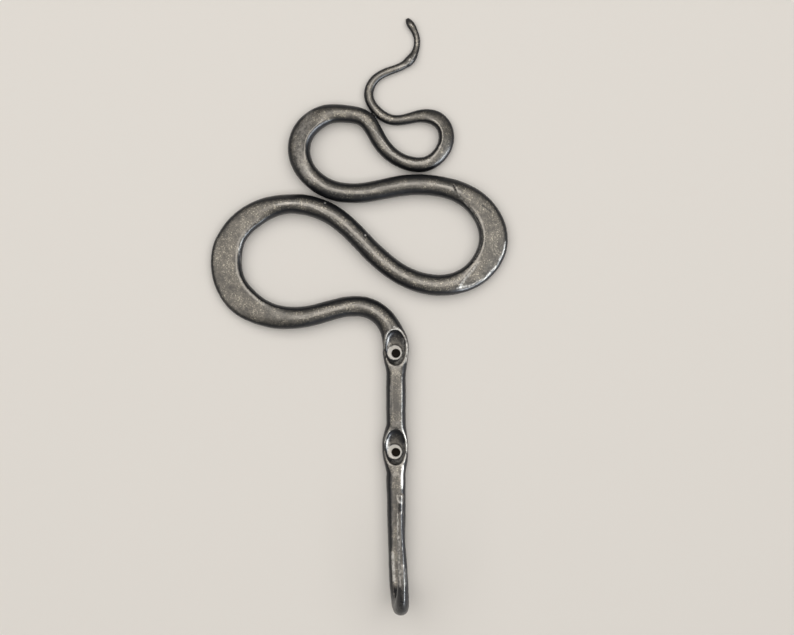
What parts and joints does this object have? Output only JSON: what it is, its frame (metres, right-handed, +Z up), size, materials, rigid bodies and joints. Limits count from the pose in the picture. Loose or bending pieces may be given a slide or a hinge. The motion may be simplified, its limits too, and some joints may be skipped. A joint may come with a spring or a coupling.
{
  "type": "wall hook",
  "caption": "Hand-forged serpentine wall hook: a steel bar bent into a flat scroll with hammered bends, screw bosses on the shank and a forward J-hook.",
  "frame": {"origin": "on the wall, midway between the two screw holes", "axes": "+Z up the wall along the hook's length, -Y out of the wall towards the viewer, +X to the viewer's right"},
  "size_m": [0.142, 0.0437, 0.2833],
  "materials": {
    "forged_steel": "hand-forged mild steel, wire-brushed and oil-blackened, satin, with mottled scale on the hammered flats"
  },
  "bodies": {
    "root": {"forged_hook": "forged_steel"}
  },
  "joints": []
}
